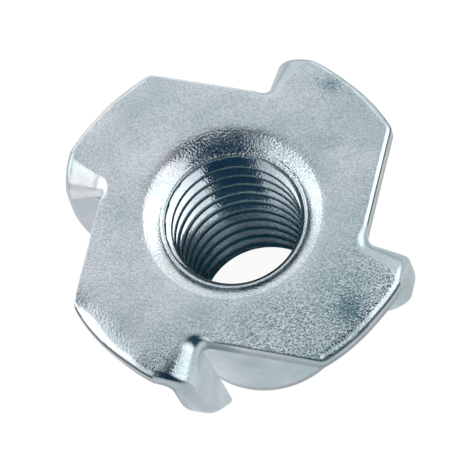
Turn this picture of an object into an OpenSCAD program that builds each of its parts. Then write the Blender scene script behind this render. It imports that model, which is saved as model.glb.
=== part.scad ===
// Four-prong tee nut, pressed and drawn from one piece of zinc-plated sheet steel.
// A round flange carries a drawn barrel with a threaded bore. Four straight cuts near the rim
// stand as the sides of a square. Each frees a segment of the flange, which is folded down
// square to its cut as a prong. The prongs all fold the same way round, as in a pinwheel.
// The origin is the centre of the barrel's lower end. +Z is the axis, up to the flange, and
// +X runs square through one cut.
// The bore is drawn at the thread's minor diameter, and the thread itself isn't drawn.

/* [Flange] */
// Diameter of the round flange
flange_d = 24; // [22:0.5:28]
// Thickness of the steel sheet
sheet_t = 1.5; // [1.2:0.1:1.8]
// Radius rolled over along the upper edges of the flange and prongs
edge_roll = 0.5; // [0.2:0.1:0.8]

/* [Barrel] */
// Overall height, from the barrel's lower end to the top of the flange
nut_h = 17.5; // [14:0.5:24]
// Outside diameter of the barrel
barrel_d = 11.9; // [11:0.1:12.5]
// Fillet between the barrel and the underside of the flange
root_fillet = 0.4; // [0.2:0.1:0.8]
// Chamfer round the outside of the barrel's lower end
end_chamfer = 0.3; // [0.1:0.1:0.4]

/* [Bore] */
// Diameter of the bore, the minor diameter of an M10 x 1.5 thread
bore_d = 8.5; // [8.4:0.05:8.65]
// Diameter where the rounded mouth of the bore ends
throat_d = 9.2; // [9:0.1:9.6]
// Radius of the rounded mouth in the top of the flange
mouth_r = 1.6; // [0.8:0.1:1.8]
// Height of the taper from the throat down to the bore
lead_in_h = 0.3; // [0.2:0.1:1]
// Chamfer round the inside of the barrel's lower end
bore_chamfer = 0.5; // [0.2:0.1:0.8]

/* [Cuts] */
// Distance from the axis to each straight cut
cut_dist = 8.95; // [8.5:0.05:9.5]

/* [Prongs] */
// Number of prongs
prong_count = 4; // [3:1:4]
// Distance from the centre line back to the start of each fold
fold_back = 2.1; // [1.8:0.1:2.6]
// Outside radius of the fold
fold_r = 2; // [1.9:0.05:2.4]
// Angle that each prong is folded through, in degrees
fold_angle = 86; // [80:1:90]
// Depth of the prong tips below the top of the flange
prong_depth = 10.8; // [9:0.1:12]
// Depth of the straight part of the prong's outer edge
prong_straight = 4; // [3:0.5:5]
// Distance that the prong's outer edge stands out past the rim, where the fold starts
prong_stand_out = 0.1; // [0.05:0.05:0.2]
// Radius of the curve from the straight part to the tip
prong_curve_r = 10.5; // [10:0.1:12]

/* [Hidden] */
$fn = 96;

// Length by which a cutting shape runs clear of the surface that it cuts
clear = 1;

flange_r = flange_d / 2;
barrel_r = barrel_d / 2;
bore_r = bore_d / 2;
throat_r = throat_d / 2;
under_z = nut_h - sheet_t;
throat_z = nut_h - mouth_r;

// Offset of the prong's outer face from the centre line, at the end of the fold
face_y = fold_r * sin(fold_angle) - fold_back;
// Drop of the fold's outer surface from the top of the flange
fold_drop = fold_r * (1 - cos(fold_angle));
// Distance of the prong's outer edge from the axis
blade_out = sqrt(flange_r * flange_r - fold_back * fold_back) + prong_stand_out;
// Length of the flat prong, from the end of the fold to the tip
blade_len = (prong_depth - fold_drop) / sin(fold_angle);
// Length of the straight outer edge of the flat prong
blade_straight = prong_straight - fold_drop;

// Section of the waste outside a rolled edge, with the corner of the sheet at the origin
module roll_waste() {
    difference() {
        translate([-edge_roll, -edge_roll]) square(edge_roll + clear);
        translate([-edge_roll, -edge_roll]) circle(edge_roll);
    }
}

// Half section of the flange and barrel, to be turned about the axis
module nut_section() {
    difference() {
        union() {
            translate([0, under_z]) square([flange_r, sheet_t]);
            square([barrel_r, nut_h]);
            difference() {
                translate([0, under_z - root_fillet]) square([barrel_r + root_fillet, root_fillet]);
                translate([barrel_r + root_fillet, under_z - root_fillet]) circle(root_fillet);
            }
        }
        square([bore_r, nut_h]);
        mouth_waste();
        end_waste();
        translate([flange_r, nut_h]) roll_waste();
    }
}

// Section of the waste above the bore: the taper, the throat and the rounded mouth
module mouth_waste() {
    polygon([
        [0, throat_z - lead_in_h],
        [bore_r, throat_z - lead_in_h],
        [throat_r, throat_z],
        [0, throat_z]
    ]);
    difference() {
        translate([0, throat_z]) square([throat_r + mouth_r, mouth_r + clear]);
        translate([throat_r + mouth_r, throat_z]) circle(mouth_r);
    }
}

// Section of the waste outside the two chamfers of the barrel's lower end
module end_waste() {
    polygon([[0, 0], [bore_r + bore_chamfer, 0], [bore_r, bore_chamfer], [0, bore_chamfer]]);
    polygon([[barrel_r - end_chamfer, 0], [barrel_r, 0], [barrel_r, end_chamfer]]);
}

// Section of the waste beyond a straight cut, with the corner of the cut edge at the origin
module cut_section() {
    translate([0, -sheet_t - clear]) square([flange_r, sheet_t + 2 * clear]);
    roll_waste();
}

// Waste cut out of the flange for one prong: the room for its fold, and the freed segment
module cut_waste() {
    translate([cut_dist, -fold_back, under_z - clear])
        cube([flange_r, fold_back + flange_r, sheet_t + 2 * clear]);
    translate([cut_dist, flange_r, nut_h])
        rotate([90, 0, 0])
            linear_extrude(flange_r - face_y) cut_section();
}

// Fold of one prong, turned about its own axis from the level of the flange
module fold() {
    rotate([90, 0, 90])
        rotate([0, 0, 90 - fold_angle])
            rotate_extrude(angle = fold_angle)
                difference() {
                    translate([fold_r - sheet_t, cut_dist]) square([sheet_t, blade_out - cut_dist]);
                    translate([fold_r, blade_out]) roll_waste();
                }
}

// Outline of the flat prong: x is the distance out from the axis, and y runs to the tip
module blade_outline() {
    intersection() {
        translate([cut_dist, 0]) square([blade_out - cut_dist, blade_len]);
        union() {
            square([blade_out, blade_straight]);
            translate([blade_out - prong_curve_r, blade_straight]) circle(prong_curve_r);
        }
    }
}

// Flat prong, lying level with its outer face up, with the outer edge rolled over
module blade() {
    difference() {
        linear_extrude(sheet_t) blade_outline();
        translate([blade_out, blade_straight, sheet_t])
            rotate([90, 0, 0])
                linear_extrude(blade_straight) roll_waste();
        translate([blade_out - prong_curve_r, blade_straight, 0])
            rotate_extrude(angle = 90)
                translate([prong_curve_r, sheet_t]) roll_waste();
    }
}

// One prong, folded down square to the cut on +X
module prong() {
    translate([0, -fold_back, nut_h - fold_r]) {
        fold();
        rotate([-fold_angle, 0, 0])
            translate([0, 0, fold_r - sheet_t]) blade();
    }
}

module tee_nut() {
    color([0.76, 0.78, 0.8]) {
        difference() {
            rotate_extrude() nut_section();
            for (i = [0 : prong_count - 1])
                rotate([0, 0, i * 360 / prong_count]) cut_waste();
        }
        for (i = [0 : prong_count - 1])
            rotate([0, 0, i * 360 / prong_count]) prong();
    }
}

tee_nut();
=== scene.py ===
# %% [markdown]
# # A four-prong tee nut
# One pressed and drawn piece of zinc-plated sheet steel: a round flange, a threaded barrel, and
# four prongs cut near the rim and folded down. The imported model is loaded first, because every
# size below has to agree with it. All shaping is done in millimetres, with the top of the flange
# at height 0, and the finished mesh is moved to its place in metres at the end.

import math

import bmesh
import bpy
from mathutils import Matrix, Vector


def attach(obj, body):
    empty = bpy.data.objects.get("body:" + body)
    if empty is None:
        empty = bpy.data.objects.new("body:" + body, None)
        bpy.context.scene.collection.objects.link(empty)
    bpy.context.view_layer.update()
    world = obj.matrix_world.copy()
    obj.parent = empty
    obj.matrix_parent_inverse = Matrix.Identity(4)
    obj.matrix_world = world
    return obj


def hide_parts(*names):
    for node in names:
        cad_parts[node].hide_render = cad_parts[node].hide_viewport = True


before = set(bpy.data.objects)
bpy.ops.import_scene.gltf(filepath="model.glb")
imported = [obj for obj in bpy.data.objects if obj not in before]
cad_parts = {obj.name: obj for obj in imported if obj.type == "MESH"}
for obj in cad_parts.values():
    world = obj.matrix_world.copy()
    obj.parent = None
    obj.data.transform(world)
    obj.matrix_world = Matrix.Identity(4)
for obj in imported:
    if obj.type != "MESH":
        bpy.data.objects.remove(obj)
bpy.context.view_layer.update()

# %% [markdown]
# ## Sizes
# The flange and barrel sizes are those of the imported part. The thread is M10 with a pitch of
# 1.5 mm: its crests stand at the bore's 8.5 mm, and its grooves reach out to 10 mm. The last five
# are for the mesh: the steps of a full turn and of a rolled edge, the flat strip kept beside each
# roll, the bevel of a sharp corner, and how near two points have to be to be merged.

# %% Name the sizes
HEIGHT = 17.5
FLANGE_R = 12.0
SHEET = 1.5
ROLL = 0.5
BARREL_R = 5.95
ROOT_FILLET = 0.4
END_CHAMFER = 0.3
THROAT_R = 4.6
TAPER = 0.45
CREST_R = 4.25
GROOVE_R = 5.0
PITCH = 1.5
CUT = 8.95
PRONG_OUT = 11.91
PRONG_DEPTH = 10.8
PRONG_STRAIGHT = 4.0
PRONG_CURVE_R = 10.5
FOLD = math.radians(86)
AROUND = 128
ROLL_STEPS = 10
GUARD = 0.15
EDGE = 0.1
MERGE = 0.004

print("flange", 2 * FLANGE_R, "mm, barrel", 2 * BARREL_R, "mm, pitch", PITCH, "mm")

# %% [markdown]
# ## Three helpers
# A sheet of metal that is sheared and bent is a plain grid whose points have been moved. The first
# helper makes such a grid with one operator and asks a function where each point goes. The second
# adds one bmesh to another, so that each form can be made by itself and joined at the end. It
# first sorts the edges and faces by the numbers of their points, because a spin leaves them in
# another order each run. The third rises softly from 0 to 1, for everything that fades in or out.

# %% Make a grid and place its points
MORE_THAN_POINTS = 100000.0


def bent_grid(columns, rows, place):
    sheet = bmesh.new()
    bmesh.ops.create_grid(sheet, x_segments=columns - 1, y_segments=rows - 1, size=1.0)
    for point in sheet.verts:
        i = round((point.co.x + 1) / 2 * (columns - 1))
        j = round((point.co.y + 1) / 2 * (rows - 1))
        point.co = place(i, j)
    return sheet


def by_points(part):
    numbers = sorted(v.index for v in part.verts)
    return numbers[0] * MORE_THAN_POINTS + numbers[-1]


def join(target, source):
    source.verts.index_update()
    source.edges.sort(key=by_points)
    source.faces.sort(key=by_points)
    carrier = bpy.data.meshes.new("carrier")
    source.to_mesh(carrier)
    source.free()
    target.from_mesh(carrier)
    bpy.data.meshes.remove(carrier)


def smooth_step(low, high, value):
    share = min(1.0, max(0.0, (value - low) / (high - low)))
    return share * share * (3 - 2 * share)


# %% [markdown]
# ## The fold of a prong
# On the real part the press folds each prong down square to its cut. The fold is tight beside the
# cut, where the metal was sheared, and wider at the rim, so it is a piece of a cone. Two planes
# describe it: the top of the flange, and the prong's outer face that leans by 4 degrees. They meet
# in a straight line, and an arc of the right radius runs from one to the other.

# %% Work out the fold
PLANE_Y = -0.235
LEAN = 1 / math.tan(FOLD)
TANGENT = math.tan(FOLD / 2)
NOTCH_R = 0.7
NOTCH_X = CUT + NOTCH_R
ROLL_X = PRONG_OUT - ROLL
FOLD_TIGHT = 0.9
FOLD_GROWTH = 0.6


def fold_radius(x):
    return FOLD_TIGHT + FOLD_GROWTH * (min(x, ROLL_X) - CUT)


def outer_fold(x, deep, turn):
    radius = fold_radius(x)
    start = PLANE_Y - radius * TANGENT
    reach = radius - deep
    return Vector((x, start + reach * math.sin(turn), -radius + reach * math.cos(turn)))


def inner_fold(x, turn):
    radius = max(fold_radius(x) - SHEET, 0.0)
    start = PLANE_Y + SHEET * LEAN - SHEET / math.sin(FOLD) - radius * TANGENT
    height = -SHEET - radius
    return Vector((x, start + radius * math.sin(turn), height + radius * math.cos(turn)))


def prong_wall(x, deep, depth):
    return Vector((x, PLANE_Y + depth * LEAN - deep / math.sin(FOLD), -depth))


print("fold radius", round(fold_radius(CUT), 2), "to", round(fold_radius(PRONG_OUT), 2), "mm")

# %% [markdown]
# ## Across the prong
# A line round the prong's section is listed once as pairs: the distance out from the axis, and the
# depth below its outer face. It crosses the outer face, goes over the rolled edge and down the
# side, and comes back along the inner face. The fold and the prong below it share these columns.

# %% List the columns across a prong
notch_side = [CUT + NOTCH_R * k / 4 for k in range(4)]
outer_face = [NOTCH_X + (ROLL_X - GUARD - NOTCH_X) * k / 8 for k in range(9)]
quarter = [math.pi / 2 * k / ROLL_STEPS for k in range(ROLL_STEPS + 1)]
rolled = [(ROLL_X + ROLL * math.sin(a), ROLL * (1 - math.cos(a))) for a in quarter]
side = [(PRONG_OUT, SHEET - EDGE), (PRONG_OUT - EDGE, SHEET), (PRONG_OUT - 4 * EDGE, SHEET)]
inner_face = [(CUT + (side[2][0] - CUT) * k / 10, SHEET) for k in range(9, -1, -1)]
across = [(x, 0.0) for x in outer_face] + rolled + side + inner_face
across_below = [(x, 0.0) for x in notch_side] + across
print(len(across), "columns across the fold and", len(across_below), "across the prong")


# %% [markdown]
# ## Bend the fold
# The grid has one row on the flat flange, one for each step of the turn, and one at the root of the
# straight prong, a hair below the end of the turn. Where the fold is tighter than the sheet is
# thick, its inner side is a plain corner, so several rows meet in one point there and are merged
# later.


# %% Make the fold
INNER_GAP = 0.04
OUTER_GAP = 0.05
SIDE_DROP = 0.13


def root_depth(x, deep):
    if deep >= SHEET:
        inner = max(fold_radius(x) - SHEET, 0.0)
        return SHEET + inner + (INNER_GAP if inner > 0 else 0.0)
    radius = fold_radius(x)
    outer = max(SHEET, radius * (1 - math.cos(FOLD)) + OUTER_GAP)
    return outer + (SIDE_DROP * deep / SHEET if x > ROLL_X - 0.001 else 0.0)


def place_fold(i, j):
    x, deep = across[i]
    inner = deep >= SHEET
    if j == ROLL_STEPS + 2:
        return prong_wall(x, deep, root_depth(x, deep))
    turn = FOLD * max(j - 1, 0) / ROLL_STEPS
    spot = inner_fold(x, turn) if inner else outer_fold(x, deep, turn)
    if j == 0:
        spot.y -= GUARD
    return spot


quarter_part = bmesh.new()
join(quarter_part, bent_grid(len(across), ROLL_STEPS + 3, place_fold))
print("fold:", len(quarter_part.faces), "faces")

# %% [markdown]
# ## Draw the prong down
# Below the fold the prong is flat. Its outer edge runs straight down for 4 mm and then curves in to
# a blunt tip. Each row is the same line round the section, squeezed to the width that the curve
# leaves at that depth. The rolled edge gets smaller where the tip is too narrow for it.

# %% Make the straight prong
PRONG_ROWS = 22
TIP_ROLL = 0.7


def prong_reach(depth):
    below = max(depth - PRONG_STRAIGHT, 0.0)
    return PRONG_OUT - PRONG_CURVE_R + math.sqrt(PRONG_CURVE_R**2 - below**2)


def place_prong(i, j):
    x, deep = across_below[i]
    root = root_depth(x, deep)
    depth = root + (PRONG_DEPTH - root) * (j / (PRONG_ROWS - 1))
    reach = prong_reach(depth)
    shrink = min(1.0, TIP_ROLL * (reach - CUT) / ROLL)
    if deep == 0.0 and x <= ROLL_X:
        x = CUT + (x - CUT) * (reach - ROLL * shrink - CUT) / (ROLL_X - CUT)
    elif deep < SHEET:
        x = reach - (PRONG_OUT - x) * shrink
        deep = deep * shrink if deep <= ROLL else deep
    else:
        x = CUT + (x - CUT) * (reach - EDGE * shrink - CUT) / (PRONG_OUT - EDGE - CUT)
    return prong_wall(x, deep, depth)


join(quarter_part, bent_grid(len(across_below), PRONG_ROWS, place_prong))


def place_inner_edge(i, j):
    deep = SHEET if i else 0.0
    root = root_depth(CUT, deep)
    depth = root + (PRONG_DEPTH - root) * (j / (PRONG_ROWS - 1))
    return prong_wall(CUT, deep, depth)


join(quarter_part, bent_grid(2, PRONG_ROWS, place_inner_edge))
print("tip width", round(prong_reach(PRONG_DEPTH) - CUT, 2), "mm")

# %% [markdown]
# ## Follow the edge of the flange
# The sheared edge of the flange has a rolled top corner, a short straight side and a sharp lower
# corner. A path leads round it: out of the notch beside one prong, along the straight cut, round
# the tip, and along the rim to where the next prong folds. Each station on the path holds a point,
# the direction outwards, the radius of the roll, the angle of the wall, the lower bevel and how
# much wider than high the roll is. The punch wears unevenly, so each cut has its own roll.

# %% Walk round one quarter of the edge
NOTCH_STEPS = 14
CUT_STEPS = 16
TIP_STEPS = 8
RIM_STEPS = 22
BLEND_STEPS = 10
CORNER_SLOPE = 0.22
SWELL = 0.6
ROLL_FADE = 1.7
CUT_SPACING = 1.4
TIP_R = 0.8
BLEND_Y = -5.5
notch_y = PLANE_Y + NOTCH_R
whole = SWELL + NOTCH_R * math.pi / 2
tip_x = CUT - TIP_R
tip_y = math.sqrt((FLANGE_R - TIP_R) ** 2 - tip_x**2)
tip_facing = math.atan2(tip_y, tip_x)
rim_end = math.pi / 2 + math.asin(BLEND_Y / FLANGE_R)


def station(x, y, facing, roll, wall=math.pi / 2, share=1.0, wide=1.0):
    out = Vector((math.cos(facing), math.sin(facing), 0))
    return (Vector((x, y, 0)), out, roll, wall, share, wide)


def walk_notch(cut_roll):
    walked = []
    for k in range(NOTCH_STEPS + 1):
        facing = math.pi / 2 * (1 - k / NOTCH_STEPS)
        gone = smooth_step(0, whole, SWELL + NOTCH_R * facing) ** ROLL_FADE
        x = NOTCH_X - NOTCH_R * math.cos(facing)
        y = notch_y - NOTCH_R * math.sin(facing)
        roll = cut_roll + (fold_radius(NOTCH_X) - cut_roll) * gone
        wall = math.pi / 2 - (math.pi / 2 - FOLD) * facing / (math.pi / 2)
        walked.append(station(x, y, facing, roll, wall, (1 - facing / (math.pi / 2)) ** 2))
    return walked


def walk_cut(cut_roll):
    walked = []
    for k in range(1, CUT_STEPS):
        y = notch_y + (tip_y - notch_y) * (k / CUT_STEPS) ** CUT_SPACING
        gone = smooth_step(0, whole, notch_y + SWELL - y) ** ROLL_FADE
        walked.append(station(CUT, y, 0, cut_roll + (fold_radius(NOTCH_X) - cut_roll) * gone))
    for k in range(TIP_STEPS + 1):
        facing = tip_facing * k / TIP_STEPS
        x = tip_x + TIP_R * math.cos(facing)
        y = tip_y + TIP_R * math.sin(facing)
        walked.append(station(x, y, facing, cut_roll + (ROLL - cut_roll) * k / TIP_STEPS))
    return walked


# %% [markdown]
# ## Along the rim
# The rest of the path is the round rim, where the roll is widest in the middle, and a smooth blend
# from the rim to the outer edge of the next prong.


# %% Walk along the rim
RIM_WIDENING = 0.6
RIM_LEAN = 0.7


def walk_rim():
    walked = []
    for k in range(1, RIM_STEPS + 1):
        facing = tip_facing + (rim_end - tip_facing) * k / RIM_STEPS
        wide = 1 + RIM_WIDENING * math.sin(math.pi * (k / RIM_STEPS) ** RIM_LEAN) ** 2
        x = FLANGE_R * math.cos(facing)
        y = FLANGE_R * math.sin(facing)
        walked.append(station(x, y, facing, ROLL, wide=wide))
    return walked


def walk_blend():
    walked = []
    start_x = math.sqrt(FLANGE_R**2 - BLEND_Y**2)
    start_slope = -BLEND_Y / start_x
    span = PLANE_Y - fold_radius(PRONG_OUT) * TANGENT - GUARD - BLEND_Y
    for k in range(1, BLEND_STEPS + 1):
        s = k / BLEND_STEPS
        x = (
            (2 * s**3 - 3 * s**2 + 1) * start_x
            + (s**3 - 2 * s**2 + s) * span * start_slope
            + (3 * s**2 - 2 * s**3) * PRONG_OUT
            + (s**3 - s**2) * span * CORNER_SLOPE
        )
        slope = (
            (6 * s**2 - 6 * s) * (start_x - PRONG_OUT) / span
            + (3 * s**2 - 4 * s + 1) * start_slope
            + (3 * s**2 - 2 * s) * CORNER_SLOPE
        )
        facing = math.pi / 2 - (math.atan(slope) if k < BLEND_STEPS else 0)
        walked.append(station(-BLEND_Y - span * s, x, facing, ROLL))
    return walked


def walk_edge(cut_roll):
    return walk_notch(cut_roll) + walk_cut(cut_roll) + walk_rim() + walk_blend()


print(len(walk_edge(ROLL)), "stations from the notch to the next fold")


# %% [markdown]
# ## Roll the edge
# One grid follows the stations. Its rows go from the flat top, over the roll, down the side and in
# under the sheet. At the end beside the prong its points are those of the fold, so the cut's roll
# grows into the fold without a seam, as the drawn metal does.


# %% Make the edge band
def edge_band(stations):
    def place_edge(i, j):
        spot, out, roll, wall, share, wide = stations[i]
        start = roll * math.tan(wall / 2)
        if j == 0:
            return spot - out * (start * wide + GUARD)
        if j <= ROLL_STEPS + 1:
            turn = wall * (j - 1) / ROLL_STEPS
            down = Vector((0, 0, roll * math.cos(turn) - roll))
            return spot - out * (start - roll * math.sin(turn)) * wide + down
        bevel = EDGE * share
        lean = 1 / math.tan(wall)
        if j == ROLL_STEPS + 2:
            return spot + out * (SHEET - bevel) * lean + Vector((0, 0, bevel - SHEET))
        inset = bevel if j == ROLL_STEPS + 3 else 4 * bevel
        return spot + out * (SHEET * lean - inset) + Vector((0, 0, -SHEET))

    return bent_grid(len(stations), ROLL_STEPS + 5, place_edge)


print("one band has", len(edge_band(walk_edge(ROLL)).faces), "faces")

# %% [markdown]
# ## Four times round
# The four prongs are the same, so the quarter is copied and turned. Merging the doubles joins the
# fold to the edge on both of its sides.

# %% Turn the quarter into the whole
CUT_ROLLS = (0.36, 0.25, 0.08, 0.11)
nut = bmesh.new()
for k in range(4):
    turned = quarter_part.copy()
    join(turned, edge_band(walk_edge(CUT_ROLLS[k])))
    bmesh.ops.rotate(turned, verts=turned.verts, matrix=Matrix.Rotation(k * math.pi / 2, 3, "Z"))
    join(nut, turned)
quarter_part.free()
bmesh.ops.remove_doubles(nut, verts=nut.verts, dist=MERGE)
print("edge and prongs:", len(nut.verts), "points")

# %% [markdown]
# ## Turn the barrel
# The barrel was drawn out of the sheet, so its outside is a surface of revolution: a fillet under
# the flange, a straight wall and a small chamfer at the end. A profile of a few points is spun
# round the axis, with a ring every 1.4 mm so that the faces of the wall aren't too long.


# %% Spin the barrel's outside
def spin_profile(points):
    turned = bmesh.new()
    last = None
    for radius, height in points:
        point = turned.verts.new((radius, 0, height))
        if last:
            turned.edges.new((last, point))
        last = point
    bmesh.ops.spin(
        turned,
        geom=turned.verts[:] + turned.edges[:],
        cent=(0, 0, 0),
        axis=(0, 0, 1),
        angle=2 * math.pi,
        steps=AROUND,
        use_merge=True,
    )
    return turned


RING_FROM = 2.2
RING_STEP = 1.4
root = [math.pi / 2 * k / 8 for k in range(9)]
barrel = [
    (BARREL_R + ROOT_FILLET * (1 - math.sin(a)), -SHEET - ROOT_FILLET * (1 - math.cos(a)))
    for a in root
]
barrel += [(BARREL_R, -RING_FROM - k * RING_STEP) for k in range(11)]
barrel += [(BARREL_R, END_CHAMFER - HEIGHT), (BARREL_R - END_CHAMFER, -HEIGHT)]
join(nut, spin_profile(barrel))

# %% [markdown]
# ## Round the mouth
# The drawing left a rounded mouth in the flange's top, like a funnel. Its arc stops at a small lip
# that the drill left when it opened the bore. The mouth is spun as well, and it ends at a level
# where the thread has not begun yet.

# %% Spin the mouth
FUNNEL_R = 2.2
FUNNEL_TURN = math.radians(55)
LEDGE = 0.10
LIP_DROP = 0.02
LIP_ROLL = 0.08
LIP_WALL = 0.05
LAND_R = THROAT_R + 0.05
funnel_end = LAND_R + LIP_ROLL + LEDGE
funnel_start = funnel_end + FUNNEL_R * math.sin(FUNNEL_TURN)
mouth = []
for k in range(13):
    turn = FUNNEL_TURN * k / 12
    mouth.append((funnel_start - FUNNEL_R * math.sin(turn), FUNNEL_R * (math.cos(turn) - 1)))
ledge_z = mouth[-1][1] - LIP_DROP
for k in range(5):
    turn = math.pi / 2 * k / 4
    lip_z = ledge_z - LIP_ROLL * (1 - math.cos(turn))
    mouth.append((LAND_R + LIP_ROLL * (1 - math.sin(turn)), lip_z))
MOUTH_LEVEL = ledge_z - LIP_ROLL - LIP_WALL
mouth.append((LAND_R, MOUTH_LEVEL))
join(nut, spin_profile(mouth))
print("mouth from radius", round(mouth[0][0], 2), "to", round(LAND_R, 2), "mm")
print("mouth ends at", round(MOUTH_LEVEL, 2), "mm")

# %% [markdown]
# ## Cut the thread
# A tap cuts a groove that climbs 1.5 mm each turn. One pitch of its profile is spun and lifted a
# little at each step, so one turn ends just above where the turn before began. The profile goes
# from crest to groove and back, with its corners softened, as plating leaves them. The turns
# reach past both ends of the bore, and are trimmed later.


# %% Spin one pitch into the whole thread
def thread_radius(share):
    crest = [(0.0, CREST_R), (0.13, CREST_R)]
    groove = [(0.455, GROOVE_R), (0.545, GROOVE_R)]
    profile = crest + groove + [(0.87, CREST_R), (1.0, CREST_R)]
    for (a, low), (b, high) in zip(profile, profile[1:]):
        if share <= b:
            return low + (high - low) * (share - a) / (b - a)
    return CREST_R


def softened(share):
    spread = [-0.03, -0.015, 0.0, 0.015, 0.03]
    return sum(thread_radius((share + s) % 1.0) for s in spread) / len(spread)


THREAD_ROWS = 20
THREAD_FROM = -3.22
TURNS = 14
one_turn = bmesh.new()
previous = None
for k in range(THREAD_ROWS + 1):
    share = k / THREAD_ROWS
    point = one_turn.verts.new((softened(share), 0, share * PITCH + THREAD_FROM - HEIGHT))
    if previous:
        one_turn.edges.new((previous, point))
    previous = point
bmesh.ops.spin(
    one_turn,
    geom=one_turn.verts[:] + one_turn.edges[:],
    cent=(0, 0, 0),
    axis=(0, 0, 1),
    dvec=(0, 0, PITCH / AROUND),
    angle=2 * math.pi,
    steps=AROUND,
)
thread = bmesh.new()
for k in range(TURNS):
    join(thread, one_turn.copy())
    bmesh.ops.translate(one_turn, verts=one_turn.verts, vec=(0, 0, PITCH))
one_turn.free()
bmesh.ops.remove_doubles(thread, verts=thread.verts, dist=MERGE)
heights = [v.co.z for v in thread.verts]
print("thread from", round(min(heights), 2), "to", round(max(heights), 2), "mm")
print("thread points:", len(thread.verts))

# %% [markdown]
# ## Fade the thread out
# The bore is wider at both ends: a short taper leads in from the throat, and a bevel opens the
# barrel's lower end. The formula takes the larger of two radii and rounds the corner between them.


# %% Fade it into the throat and the bevel
LAND_END = MOUTH_LEVEL - 0.04
START_FADE = 0.25
BEHIND_CREST = 0.05
SOFTNESS = 0.05
END_BEVEL = (0.55, 1.2)


def plain_radius(z):
    taper = LAND_R - max(LAND_END - z, 0.0) * (LAND_R - CREST_R) / TAPER
    wide, tall = END_BEVEL
    bevel = CREST_R + wide * (1 - (z + HEIGHT) / tall)
    return max(taper, min(bevel, CREST_R + wide), CREST_R - BEHIND_CREST)


for point in thread.verts:
    radius = math.hypot(point.co.x, point.co.y)
    begun = 1 - smooth_step(LAND_END - START_FADE, LAND_END, point.co.z)
    groove = CREST_R + (radius - CREST_R) * begun
    plain = plain_radius(point.co.z)
    soft = SOFTNESS * begun
    blended = (groove + plain + math.sqrt((groove - plain) ** 2 + soft**2)) / 2
    point.co.x *= blended / radius
    point.co.y *= blended / radius
print("bore at the end:", round(2 * plain_radius(-HEIGHT), 2), "mm")

# %% [markdown]
# ## Trim the thread
# Two level cuts trim it to the mouth above and the barrel's end below. A cut leaves extra points
# where it crosses the climbing rows. Dissolving those leaves one point for each step round, and
# the ring then meets the spun mouth point for point.


# %% Bisect and tidy both ends
def trim(level, normal):
    found = bmesh.ops.bisect_plane(
        thread,
        geom=thread.verts[:] + thread.edges[:] + thread.faces[:],
        dist=0.0001,
        plane_co=(0, 0, level),
        plane_no=normal,
        clear_outer=True,
    )
    ring = [g for g in found["geom_cut"] if isinstance(g, bmesh.types.BMVert)]
    between = []
    for point in ring:
        step = math.atan2(point.co.y, point.co.x) / (2 * math.pi) * AROUND
        if abs(step - round(step)) > 0.01:
            between.append(point)
    bmesh.ops.dissolve_verts(thread, verts=between)
    return len(ring) - len(between)


top_points = trim(MOUTH_LEVEL, (0, 0, 1))
end_points = trim(-HEIGHT, (0, 0, -1))
print("ring points:", top_points, "above and", end_points, "below")
join(nut, thread)
bmesh.ops.remove_doubles(nut, verts=nut.verts, dist=MERGE)
for point in nut.verts:
    if abs(point.co.z + HEIGHT) < 0.005:
        point.co.z = -HEIGHT

# %% [markdown]
# ## Close the flat faces
# The flange's top and underside and the ring at the barrel's end are flat, so each is filled
# between the loops of edges that lie in its plane. What is still open then is the tip of each
# prong.


# %% Fill between the loops
def open_edges_at(level):
    open_edges = [e for e in nut.edges if e.is_boundary]
    return [e for e in open_edges if all(abs(v.co.z - level) < 0.001 for v in e.verts)]


def fill_level(level):
    rim = open_edges_at(level)
    filled = bmesh.ops.triangle_fill(nut, edges=rim, use_beauty=True, use_dissolve=False)
    faces = [g for g in filled["geom"] if isinstance(g, bmesh.types.BMFace)]
    print("level", level, ":", len(rim), "edges,", len(faces), "faces")


fill_level(0.0)
fill_level(-SHEET)
end_rings = open_edges_at(-HEIGHT)
end_face = bmesh.ops.bridge_loops(nut, edges=end_rings)
print("end ring:", len(end_rings), "edges,", len(end_face["faces"]), "faces")
prong_tips = [e for e in nut.edges if e.is_boundary]
bmesh.ops.holes_fill(nut, edges=prong_tips, sides=0)
bmesh.ops.recalc_face_normals(nut, faces=nut.faces)
not_closed = [e for e in nut.edges if not e.is_manifold]
print("edges left open:", len(not_closed), "of", len(nut.edges))

# %% [markdown]
# ## A slight crown
# Pressing leaves the flange a little crowned: it falls away by about a sixth of a millimetre
# towards the rim, with faint waves in it. The flat top is first cut into small fields, because
# a face can only bend at its edges. One lobe was pressed harder, and its top droops to the rim in
# two places. Each droop has the angle of its middle, half its spread, both in degrees, and its
# depth.


# %% Cut the flats into fields and bow them
FIELD = 0.8
FIELD_SHIFT = 0.11
FIELDS = 14
CROWN = 0.006
WAVE = 0.012
DROOP_FROM = 9.4
DROOPS = ((-126, 17, 0.42), (-101, 9, 0.15))


def cut_fields(level):
    for normal in (Vector((1, 0, 0)), Vector((0, 1, 0))):
        for k in range(-FIELDS, FIELDS + 1):
            flat = [f for f in nut.faces if all(abs(v.co.z - level) < 0.0005 for v in f.verts)]
            edges = {e for f in flat for e in f.edges}
            points = {v for f in flat for v in f.verts}
            bmesh.ops.bisect_plane(
                nut,
                geom=list(points) + list(edges) + flat,
                dist=0.02,
                plane_co=normal * (FIELD * k + FIELD_SHIFT),
                plane_no=normal,
            )


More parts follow.
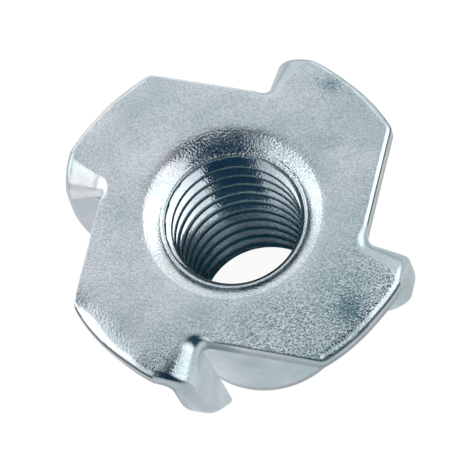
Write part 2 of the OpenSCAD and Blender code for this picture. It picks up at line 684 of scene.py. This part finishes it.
cut_fields(0.0)
for point in nut.verts:
    x, y, z = point.co
    radius = math.hypot(x, y)
    if radius > funnel_start:
        beyond = radius - funnel_start
        waves = math.sin(1.1 * x + 0.6 * y + 0.7) * math.sin(0.9 * y - 0.5 * x - 0.4)
        fade = smooth_step(0, 2.0, beyond)
        point.co.z -= CROWN * beyond**2 - WAVE * waves * fade
    if z > -SHEET and radius > DROOP_FROM:
        turn = math.degrees(math.atan2(y, x))
        share = (radius - DROOP_FROM) / (FLANGE_R - DROOP_FROM)
        for middle, span, drop in DROOPS:
            lobe = max(0.0, 1 - ((turn - middle) / span) ** 2)
            point.co.z -= drop * lobe * share**2 * (1 + z / SHEET)
print("after the fields:", len(nut.faces), "faces")

# %% [markdown]
# ## Put it in its place
# The mesh moves up by the height of the nut and shrinks from millimetres to metres. Edges that turn
# by more than 50 degrees stay sharp, and all the other faces are shaded smoothly.

# %% Move, shade and name the piece
CREASE = math.radians(50)
bmesh.ops.translate(nut, verts=nut.verts, vec=(0, 0, HEIGHT))
bmesh.ops.scale(nut, verts=nut.verts, vec=(0.001, 0.001, 0.001))
for face in nut.faces:
    face.smooth = True
for edge in nut.edges:
    if edge.is_manifold and edge.calc_face_angle(0) > CREASE:
        edge.smooth = False

mesh = bpy.data.meshes.new("pressed_tee_nut")
nut.to_mesh(mesh)
nut.free()
tee_nut = bpy.data.objects.new("pressed_tee_nut", mesh)
bpy.context.scene.collection.objects.link(tee_nut)
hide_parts("tee_nut")
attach(tee_nut, "root")
mesh.calc_loop_triangles()
print("the nut has", len(mesh.loop_triangles), "triangles")

# %% [markdown]
# ## Zinc plating
# Electroplated zinc is a bright, slightly uneven metal. All the finishes of this nut share it: the
# pressed sheet, whose grain sparkles, the drawn barrel, which the die has smoothed, the cut thread,
# the prongs and their folds. What they share is put in one node group with named inputs, and each
# finish sets its own values. The group works on the object's own coordinates, so the pattern stays
# on the metal. They are in metres, so a noise of scale 7000 has grains of a seventh of a
# millimetre.

# %% Start the group
plating = bpy.data.node_groups.new("zinc_plating", "ShaderNodeTree")
for label, default in (("Grain", 0.5), ("Waves", 0.5), ("Streaks", 0.0), ("Polish", 0.5)):
    socket = plating.interface.new_socket(label, in_out="INPUT", socket_type="NodeSocketFloat")
    socket.default_value = default
# The last input multiplies the colour: a little tone, and the painted highlights and painted shade
# of some finishes.
socket = plating.interface.new_socket("Tone and Light", in_out="INPUT", socket_type="NodeSocketColor")
socket.default_value = (1, 1, 1, 1)
plating.interface.new_socket("Color", in_out="OUTPUT", socket_type="NodeSocketColor")
plating.interface.new_socket("Roughness", in_out="OUTPUT", socket_type="NodeSocketFloat")
plating.interface.new_socket("Normal", in_out="OUTPUT", socket_type="NodeSocketVector")
nodes = plating.nodes
links = plating.links
values = nodes.new("NodeGroupInput")
results = nodes.new("NodeGroupOutput")
where = nodes.new("ShaderNodeTexCoord")


def noise(scale, detail, source=None):
    pattern = nodes.new("ShaderNodeTexNoise")
    pattern.inputs["Scale"].default_value = scale
    pattern.inputs["Detail"].default_value = detail
    links.new(source or where.outputs["Object"], pattern.inputs["Vector"])
    return pattern.outputs["Fac"]


def calculated(operation, first, second, third=None):
    math_node = nodes.new("ShaderNodeMath")
    math_node.operation = operation
    for slot, value in enumerate((first, second, third)):
        if isinstance(value, (int, float)):
            math_node.inputs[slot].default_value = value
        elif value is not None:
            links.new(value, math_node.inputs[slot])
    return math_node.outputs[0]


def ranged(value, low, high, new_low, new_high):
    spread = nodes.new("ShaderNodeMapRange")
    spread.interpolation_type = "SMOOTHSTEP"
    limits = {"From Min": low, "From Max": high, "To Min": new_low, "To Max": new_high}
    for label, number in limits.items():
        spread.inputs[label].default_value = number
    links.new(value, spread.inputs["Value"])
    return spread.outputs["Result"]


print("the plating group has", len(plating.interface.items_tree), "sockets")

# %% [markdown]
# ## The grain
# Sheet steel that has been pressed and tumbled has a skin like orange peel, a tenth of a millimetre
# across and a few thousandths high. It is strongest on one side of the flange and on one side of
# the mouth, where the sheet was worked most. Wide shallow waves lie under it, and the die leaves
# fine streaks up the barrel.

# %% Build the relief of the surface
BUMP_HEIGHT = 0.00002


def along(direction):
    reach = nodes.new("ShaderNodeVectorMath")
    reach.operation = "DOT_PRODUCT"
    reach.inputs[1].default_value = direction
    links.new(where.outputs["Object"], reach.inputs[0])
    return reach.outputs["Value"]


flat_place = nodes.new("ShaderNodeVectorMath")
flat_place.operation = "MULTIPLY"
flat_place.inputs[1].default_value = (1, 1, 0)
links.new(where.outputs["Object"], flat_place.inputs[0])
from_axis = nodes.new("ShaderNodeVectorMath")
from_axis.operation = "LENGTH"
links.new(flat_place.outputs[0], from_axis.inputs[0])
one_side = ranged(along((0.64, -0.77, 0)), 0.004, 0.0105, 0.68, 2.2)
round_mouth = ranged(from_axis.outputs["Value"], 0.0056, 0.0072, 1.5, 0.0)
one_half = ranged(along((0.0, 1.0, 0.0)), 0.0022, 0.0040, 0.0, 1.0)
worked = calculated("MAXIMUM", one_side, calculated("MULTIPLY", round_mouth, one_half))
patchy = ranged(noise(220, 2), 0.35, 0.65, 0.6, 1.3)
peel = calculated("ADD", noise(7000, 0), calculated("MULTIPLY", noise(15000, 0), 0.25))
amount = calculated("MULTIPLY", patchy, values.outputs["Grain"])
grain = calculated("MULTIPLY", calculated("MULTIPLY", peel, worked), amount)
waves = calculated("MULTIPLY", noise(420, 1), values.outputs["Waves"])

tall = nodes.new("ShaderNodeMapping")
tall.inputs["Scale"].default_value = (1, 1, 0.02)
links.new(where.outputs["Object"], tall.inputs["Vector"])
streaks = calculated("MULTIPLY", noise(5000, 2, tall.outputs["Vector"]), values.outputs["Streaks"])
height = calculated("ADD", calculated("ADD", grain, waves), streaks)
relief = nodes.new("ShaderNodeBump")
relief.inputs["Strength"].default_value = 1.0
relief.inputs["Distance"].default_value = BUMP_HEIGHT
links.new(height, relief.inputs["Height"])
links.new(relief.outputs["Normal"], results.inputs["Normal"])
print("the relief has", len(nodes), "nodes")

# %% [markdown]
# ## The colour
# The plating is a cool grey that lies in soft clouds, a little violet where it is thick and a
# little green where it is thin. On top of the clouds the colour turns darker and greener towards
# one side of the nut, which is painted shade. Two dull marks near the rim are where the tool that
# folded the prongs pressed on the flange. Each has its place and the radius of its dark middle, in
# metres.

# %% Build the clouds and the marks
MARKS = ((0.0092, -0.0051, 0.0018), (0.0044, 0.0102, 0.0013))
MARK_FADE = 0.0018
patches = calculated("MULTIPLY_ADD", noise(260, 3), 0.8, 0.11)
# The term along one direction makes the colour darker and greener towards one side: painted shade.
clouds_and_side_shade = calculated("MULTIPLY_ADD", along((0.91, -0.42, 0)), 13.0, patches)
tint = nodes.new("ShaderNodeValToRGB")
tint.color_ramp.elements[0].position = 0.30
tint.color_ramp.elements[0].color = (0.570, 0.615, 0.665, 1)
tint.color_ramp.elements[1].position = 0.72
tint.color_ramp.elements[1].color = (0.350, 0.455, 0.485, 1)
links.new(clouds_and_side_shade, tint.inputs["Fac"])
fleck = noise(8500, 1)
coarse = calculated("MULTIPLY", worked, values.outputs["Grain"])
# Fine flecks in the colour: partly the grain's own tone, partly painted glints, strongest where the
# grain is.
bright = calculated("MULTIPLY", calculated("SUBTRACT", fleck, 0.5), coarse)
grain_tone_and_glints = calculated("MULTIPLY_ADD", bright, 1.4, 1.0)
marks = None
for x, y, reach in MARKS:
    away = nodes.new("ShaderNodeVectorMath")
    away.operation = "DISTANCE"
    away.inputs[1].default_value = (x, y, HEIGHT / 1000)
    links.new(where.outputs["Object"], away.inputs[0])
    frayed = calculated("MULTIPLY", noise(1500, 3), 0.0014)
    ragged = calculated("ADD", frayed, calculated("MULTIPLY", fleck, 0.0020))
    distance = calculated("ADD", away.outputs["Value"], ragged)
    mark = ranged(distance, reach, reach + MARK_FADE, 0.1, 1.0)
    marks = calculated("MULTIPLY", marks, mark) if marks else mark


def blended(blend, factor, first, second):
    mixer = nodes.new("ShaderNodeMix")
    mixer.data_type = "RGBA"
    mixer.blend_type = blend
    for label, value in (("Factor", factor), ("A", first), ("B", second)):
        if isinstance(value, (float, tuple)):
            mixer.inputs[label].default_value = value
        else:
            links.new(value, mixer.inputs[label])
    return mixer.outputs["Result"]


marked = blended("MIX", marks, (0.12, 0.21, 0.25, 1), tint.outputs["Color"])
# Painted light: each finish's own multiplier brightens or darkens the colour here.
toned_and_lit = blended("MULTIPLY", 1.0, marked, values.outputs["Tone and Light"])
links.new(blended("MULTIPLY", 1.0, toned_and_lit, grain_tone_and_glints), results.inputs["Color"])
dullness = ranged(noise(600, 3), 0.3, 0.7, 0.14, 0.26)
rough = calculated("MULTIPLY", dullness, values.outputs["Polish"])
links.new(rough, results.inputs["Roughness"])
print("the group has", len(nodes), "nodes")


# %% [markdown]
# ## The finishes
# Each finish is a plain metal shader with the group's colour, roughness and normal. The sheet keeps
# all its grain. The barrel has little, but fine streaks along the draw. The thread was cut before
# the plating, so it is smooth; its colour is lifted, as painted light. The mouth, two of the folds
# and the gentle part of each rolled edge are lifted most, as a painted highlight. The steep part of
# a rolled edge is darkened, as painted shade. Each call gives back the number of the finish among
# the materials of the mesh.


# %% Make the finishes
def zinc_finish(name, grain, waves, streaks, polish, tone_and_light):
    finish = bpy.data.materials.new(name)
    finish.use_nodes = True
    tree = finish.node_tree
    shader = tree.nodes["Principled BSDF"]
    shader.inputs["Metallic"].default_value = 1.0
    skin = tree.nodes.new("ShaderNodeGroup")
    skin.node_tree = plating
    skin.inputs["Grain"].default_value = grain
    skin.inputs["Waves"].default_value = waves
    skin.inputs["Streaks"].default_value = streaks
    skin.inputs["Polish"].default_value = polish
    skin.inputs["Tone and Light"].default_value = (*tone_and_light, 1)
    tree.links.new(skin.outputs["Color"], shader.inputs["Base Color"])
    tree.links.new(skin.outputs["Roughness"], shader.inputs["Roughness"])
    tree.links.new(skin.outputs["Normal"], shader.inputs["Normal"])
    mesh.materials.append(finish)
    return len(mesh.materials) - 1


SHEET_FINISH = zinc_finish("zinc_sheet", 1.0, 1.8, 0.0, 1.0, (1, 1, 1))
BARREL_FINISH = zinc_finish("zinc_barrel", 0.15, 0.6, 0.25, 1.2, (1.06, 1.06, 1.08))
# Painted light: the thread's colour is lifted so that its walls show white in the bore.
THREAD_FINISH = zinc_finish("zinc_thread", 0.35, 0.3, 0.0, 0.7, (1.28, 1.25, 1.22))
PRONG_FINISH = zinc_finish("zinc_prong", 0.2, 1.2, 0.0, 1.1, (1.08, 1.08, 1.08))
# Painted shade: the steep part of a rolled edge is drawn at a third of the plating's colour.
DARK_LINE_FINISH = zinc_finish("painted_shade_edge", 0.5, 0.5, 0.0, 1.3, (0.32, 0.32, 0.32))
# Painted highlight: the folds that face the lamps and the rolled edges are drawn about one and a
# half times brighter.
HIGHLIGHT_FINISH = zinc_finish("zinc_painted_highlight", 0.3, 1.3, 0.0, 1.3, (1.50, 1.43, 1.38))
# Painted highlight: the rounded mouth is drawn brighter.
MOUTH_HIGHLIGHT_FINISH = zinc_finish("zinc_mouth_painted_highlight", 1.0, 1.8, 0.0, 1.2, (1.36, 1.30, 1.26))
print("finishes:", len(mesh.materials))

# %% [markdown]
# ## Which face has which finish
# The place and the slope of a face tell which part of the metal it is. The slope is how far its
# normal points up: 1 on the flat top, 0 on a wall. The angle round the axis, counted from the
# middle of each straight cut, tells where the folds are. The steep part of each rolled edge is a
# thin dark line of painted shade, which stands in for the dark front of the room mirrored there.


# %% Hand out the finishes
THREAD_OUT = GROOVE_R + 0.05
MOUTH_OUT = CUT - 2.0
FOLD_IN = CUT - 0.6
PRONG_IN = CUT - 0.5
PRONG_TOP = 2.2
DARK_LINE_DEPTH = 1.0
FOLD_FROM = 77.5
FOLD_TO = 5
FLAT_SLOPE = 0.985
WALL_SLOPE = 0.08
DARK_LINE_SLOPE = 0.60
ROLL_SLOPE = 0.93
MOUTH_SLOPES = (0.2, 0.95)


def finish_of(face):
    x, y, z = 1000 * face.center
    radius = math.hypot(x, y)
    depth = HEIGHT - z
    slope = face.normal.z
    around = math.degrees(math.atan2(y, x)) % 90
    if radius < THREAD_OUT and -depth < MOUTH_LEVEL:
        return THREAD_FINISH
    if radius < BARREL_R + ROOT_FILLET and depth > SHEET:
        return BARREL_FINISH
    if radius > PRONG_IN and depth > PRONG_TOP:
        return PRONG_FINISH
    if radius < MOUTH_OUT and MOUTH_SLOPES[0] < slope < MOUTH_SLOPES[1]:
        return MOUTH_HIGHLIGHT_FINISH
    if radius < FOLD_IN or abs(slope) > FLAT_SLOPE:
        return SHEET_FINISH
    if not FOLD_TO < around < FOLD_FROM:
        # Only the two folds that face the lamps get the painted highlight.
        lamp_side_fold = x + y < 0 and slope > WALL_SLOPE and radius < FLANGE_R - ROLL
        return HIGHLIGHT_FINISH if lamp_side_fold else PRONG_FINISH
    if abs(slope) < WALL_SLOPE:
        return PRONG_FINISH
    # The steep part of a rolled edge gets the painted dark line.
    if WALL_SLOPE < slope < DARK_LINE_SLOPE and radius > CUT and depth < DARK_LINE_DEPTH:
        return DARK_LINE_FINISH
    # The gentler part of a rolled edge gets the painted highlight.
    return HIGHLIGHT_FINISH if DARK_LINE_SLOPE <= slope < ROLL_SLOPE else SHEET_FINISH


counts = [0] * len(mesh.materials)
for face in mesh.polygons:
    face.material_index = finish_of(face)
    counts[face.material_index] += 1
print("faces by finish:", dict(zip([m.name for m in mesh.materials], counts)))

# %% [markdown]
# ## Floor
# A plain pale floor lies under the barrel's end. Seen from above it is white paper that takes a
# faint shadow. Seen from below it is clear, so that the underside of the nut can be looked at. In
# the metal it is mirrored a little darker than white, and darkest right under the barrel, where the
# nut shades it. The ramp says how bright it is at each distance from the axis, in tenths of a
# metre.

# %% Lay the floor
FLOOR_HALF = 1.5
RAMP_LENGTH = 0.1
UNDER_BARREL = (0.002, 0.032, 0.052, 1)
FAR_OFF = (0.50, 0.52, 0.54, 1)
BETWEEN = ((0.059, 0.86), (0.10, 0.74), (0.20, 0.71), (0.45, 0.78))
ground = bmesh.new()
bmesh.ops.create_grid(ground, x_segments=1, y_segments=1, size=FLOOR_HALF)
floor_mesh = bpy.data.meshes.new("floor")
ground.to_mesh(floor_mesh)
ground.free()
floor = bpy.data.objects.new("floor", floor_mesh)
bpy.context.scene.collection.objects.link(floor)
print("floor", 2 * FLOOR_HALF, "m wide")

# %% [markdown]
# ## The floor's paper
# Dull paper is a rough surface without a gloss. A glow is added to it for the camera and for what
# the metal mirrors, so that it is white there without more light on the nut.

# %% Make the white paper
paper = bpy.data.materials.new("white_paper")
paper.use_nodes = True
paper_nodes = paper.node_tree.nodes
paper_links = paper.node_tree.links
matt = paper_nodes["Principled BSDF"]
matt.inputs["Base Color"].default_value = (0.12, 0.12, 0.12, 1)
matt.inputs["Roughness"].default_value = 1.0
matt.inputs["Specular IOR Level"].default_value = 0.0
glow = paper_nodes.new("ShaderNodeEmission")
glow.inputs["Strength"].default_value = 1.0
floor_spot = paper_nodes.new("ShaderNodeTexCoord")
floor_reach = paper_nodes.new("ShaderNodeVectorMath")
floor_reach.operation = "LENGTH"
ramp_share = paper_nodes.new("ShaderNodeMath")
ramp_share.operation = "DIVIDE"
ramp_share.inputs[1].default_value = RAMP_LENGTH
pool = paper_nodes.new("ShaderNodeValToRGB")
pool.color_ramp.elements[0].position = 0.050
pool.color_ramp.elements[0].color = UNDER_BARREL
pool.color_ramp.elements[1].position = 0.90
pool.color_ramp.elements[1].color = FAR_OFF
for position, level in BETWEEN:
    pool.color_ramp.elements.new(position).color = (level, level, level, 1)
paper_links.new(floor_spot.outputs["Object"], floor_reach.inputs[0])
paper_links.new(floor_reach.outputs["Value"], ramp_share.inputs[0])
paper_links.new(ramp_share.outputs[0], pool.inputs["Fac"])
mirrored = paper_nodes.new("ShaderNodeMix")
mirrored.data_type = "RGBA"
mirrored.inputs["B"].default_value = (0.95, 0.95, 0.95, 1)
paper_links.new(pool.outputs["Color"], mirrored.inputs["A"])
paper_links.new(mirrored.outputs["Result"], glow.inputs["Color"])
seen = paper_nodes.new("ShaderNodeLightPath")
either = paper_nodes.new("ShaderNodeMath")
either.operation = "MAXIMUM"
shown = paper_nodes.new("ShaderNodeMixShader")
both = paper_nodes.new("ShaderNodeAddShader")
face_side = paper_nodes.new("ShaderNodeNewGeometry")
clear = paper_nodes.new("ShaderNodeBsdfTransparent")
from_below = paper_nodes.new("ShaderNodeMixShader")
paper_links.new(seen.outputs["Is Camera Ray"], mirrored.inputs["Factor"])
paper_links.new(seen.outputs["Is Camera Ray"], either.inputs[0])
paper_links.new(seen.outputs["Is Glossy Ray"], either.inputs[1])
paper_links.new(matt.outputs[0], both.inputs[0])
paper_links.new(glow.outputs[0], both.inputs[1])
paper_links.new(either.outputs[0], shown.inputs["Fac"])
paper_links.new(matt.outputs[0], shown.inputs[1])
paper_links.new(both.outputs[0], shown.inputs[2])
paper_links.new(face_side.outputs["Backfacing"], from_below.inputs["Fac"])
paper_links.new(shown.outputs[0], from_below.inputs[1])
paper_links.new(clear.outputs[0], from_below.inputs[2])
paper_links.new(from_below.outputs[0], paper_nodes["Material Output"].inputs["Surface"])
floor_mesh.materials.append(paper)
print("the paper has", len(paper_nodes), "nodes")

# %% [markdown]
# ## Camera
# A long lens from well above, turned a little about its own axis. It stands about 0.3 m off, so the
# nut keeps a slight perspective.

# %% Set the camera
camera_data = bpy.data.cameras.new("camera")
camera = bpy.data.objects.new("camera", camera_data)
bpy.context.scene.collection.objects.link(camera)
camera.location = (0.063437, -0.0997, 0.280143)
camera.rotation_euler = (0.393596, 0.144865, 0.234722)
camera_data.lens = 337.0
camera_data.sensor_width = 36
camera_data.clip_start = 0.01
camera_data.clip_end = 20
bpy.context.scene.camera = camera
print("camera", round(camera.location.length, 2), "m from the origin")

# %% [markdown]
# ## Studio
# Polished metal shows the room around it. The studio is a pale tent that is open towards the
# viewer, so the room is light above and behind, and dark blue in front. The ramp runs from the
# back of the room to its front. The camera itself sees plain white.

# %% Build the world
FRONT = Vector((0.28, -0.77, 0.574))
DARK_FRONT = (0.014, 0.045, 0.080, 1)
TENT = ((0.60, 0.94), (0.66, 0.84), (0.75, 0.58), (0.82, 0.32))
world = bpy.data.worlds.new("studio")
bpy.context.scene.world = world
world.use_nodes = True
sky = world.node_tree
room = sky.nodes["Background"]
way = sky.nodes.new("ShaderNodeTexCoord")
toward = sky.nodes.new("ShaderNodeVectorMath")
toward.operation = "DOT_PRODUCT"
toward.inputs[1].default_value = FRONT
tone = sky.nodes.new("ShaderNodeValToRGB")
shift = sky.nodes.new("ShaderNodeMath")
shift.operation = "MULTIPLY_ADD"
shift.inputs[1].default_value = 0.5
shift.inputs[2].default_value = 0.5
sky.links.new(way.outputs["Generated"], toward.inputs[0])
sky.links.new(toward.outputs["Value"], shift.inputs[0])
sky.links.new(shift.outputs[0], tone.inputs["Fac"])
stops = tone.color_ramp.elements
stops[0].position = 0.52
stops[0].color = (1.0, 1.0, 1.0, 1)
stops[1].position = 0.875
stops[1].color = DARK_FRONT
for position, level in TENT:
    stops.new(position).color = (level, level, level, 1)
sky.links.new(tone.outputs["Color"], room.inputs["Color"])
room.inputs["Strength"].default_value = 1.0
blank = sky.nodes.new("ShaderNodeBackground")
blank.inputs["Color"].default_value = (1, 1, 1, 1)
straight = sky.nodes.new("ShaderNodeLightPath")
choice = sky.nodes.new("ShaderNodeMixShader")
sky.links.new(straight.outputs["Is Camera Ray"], choice.inputs["Fac"])
sky.links.new(room.outputs[0], choice.inputs[1])
sky.links.new(blank.outputs[0], choice.inputs[2])
sky.links.new(choice.outputs[0], sky.nodes["World Output"].inputs["Surface"])
print("the ramp of the room has", len(stops), "stops")

# %% [markdown]
# ## Lamps
# Two broad soft lamps stand to the left and right, above the nut. They give the white bands along
# the mouth and the folds. Their power is low enough for the flat top to keep its grey from the
# side.


# %% Hang the lamps
MIDDLE = Vector((0, 0, HEIGHT / 1000))


def soft_lamp(name, azimuth, elevation, distance, width, height, power):
    data = bpy.data.lights.new(name, "AREA")
    data.shape = "ELLIPSE"
    data.size = width
    data.size_y = height
    data.energy = power
    hung = bpy.data.objects.new(name, data)
    hung.visible_camera = False
    bpy.context.scene.collection.objects.link(hung)
    flat = math.cos(math.radians(elevation))
    away = Vector((
        flat * math.cos(math.radians(azimuth)),
        flat * math.sin(math.radians(azimuth)),
        math.sin(math.radians(elevation)),
    ))
    hung.location = MIDDLE + away * distance
    hung.rotation_euler = (-away).to_track_quat("-Z", "Y").to_euler()
    print(name, "radiance", round(4 * power / (math.pi**2 * width * height), 2))


soft_lamp("soft_right", 15, 33, 0.42, 0.80, 0.54, 1.05)
soft_lamp("soft_left", -154, 30, 0.42, 0.80, 0.54, 0.62)
bpy.context.scene.view_settings.view_transform = "Standard"
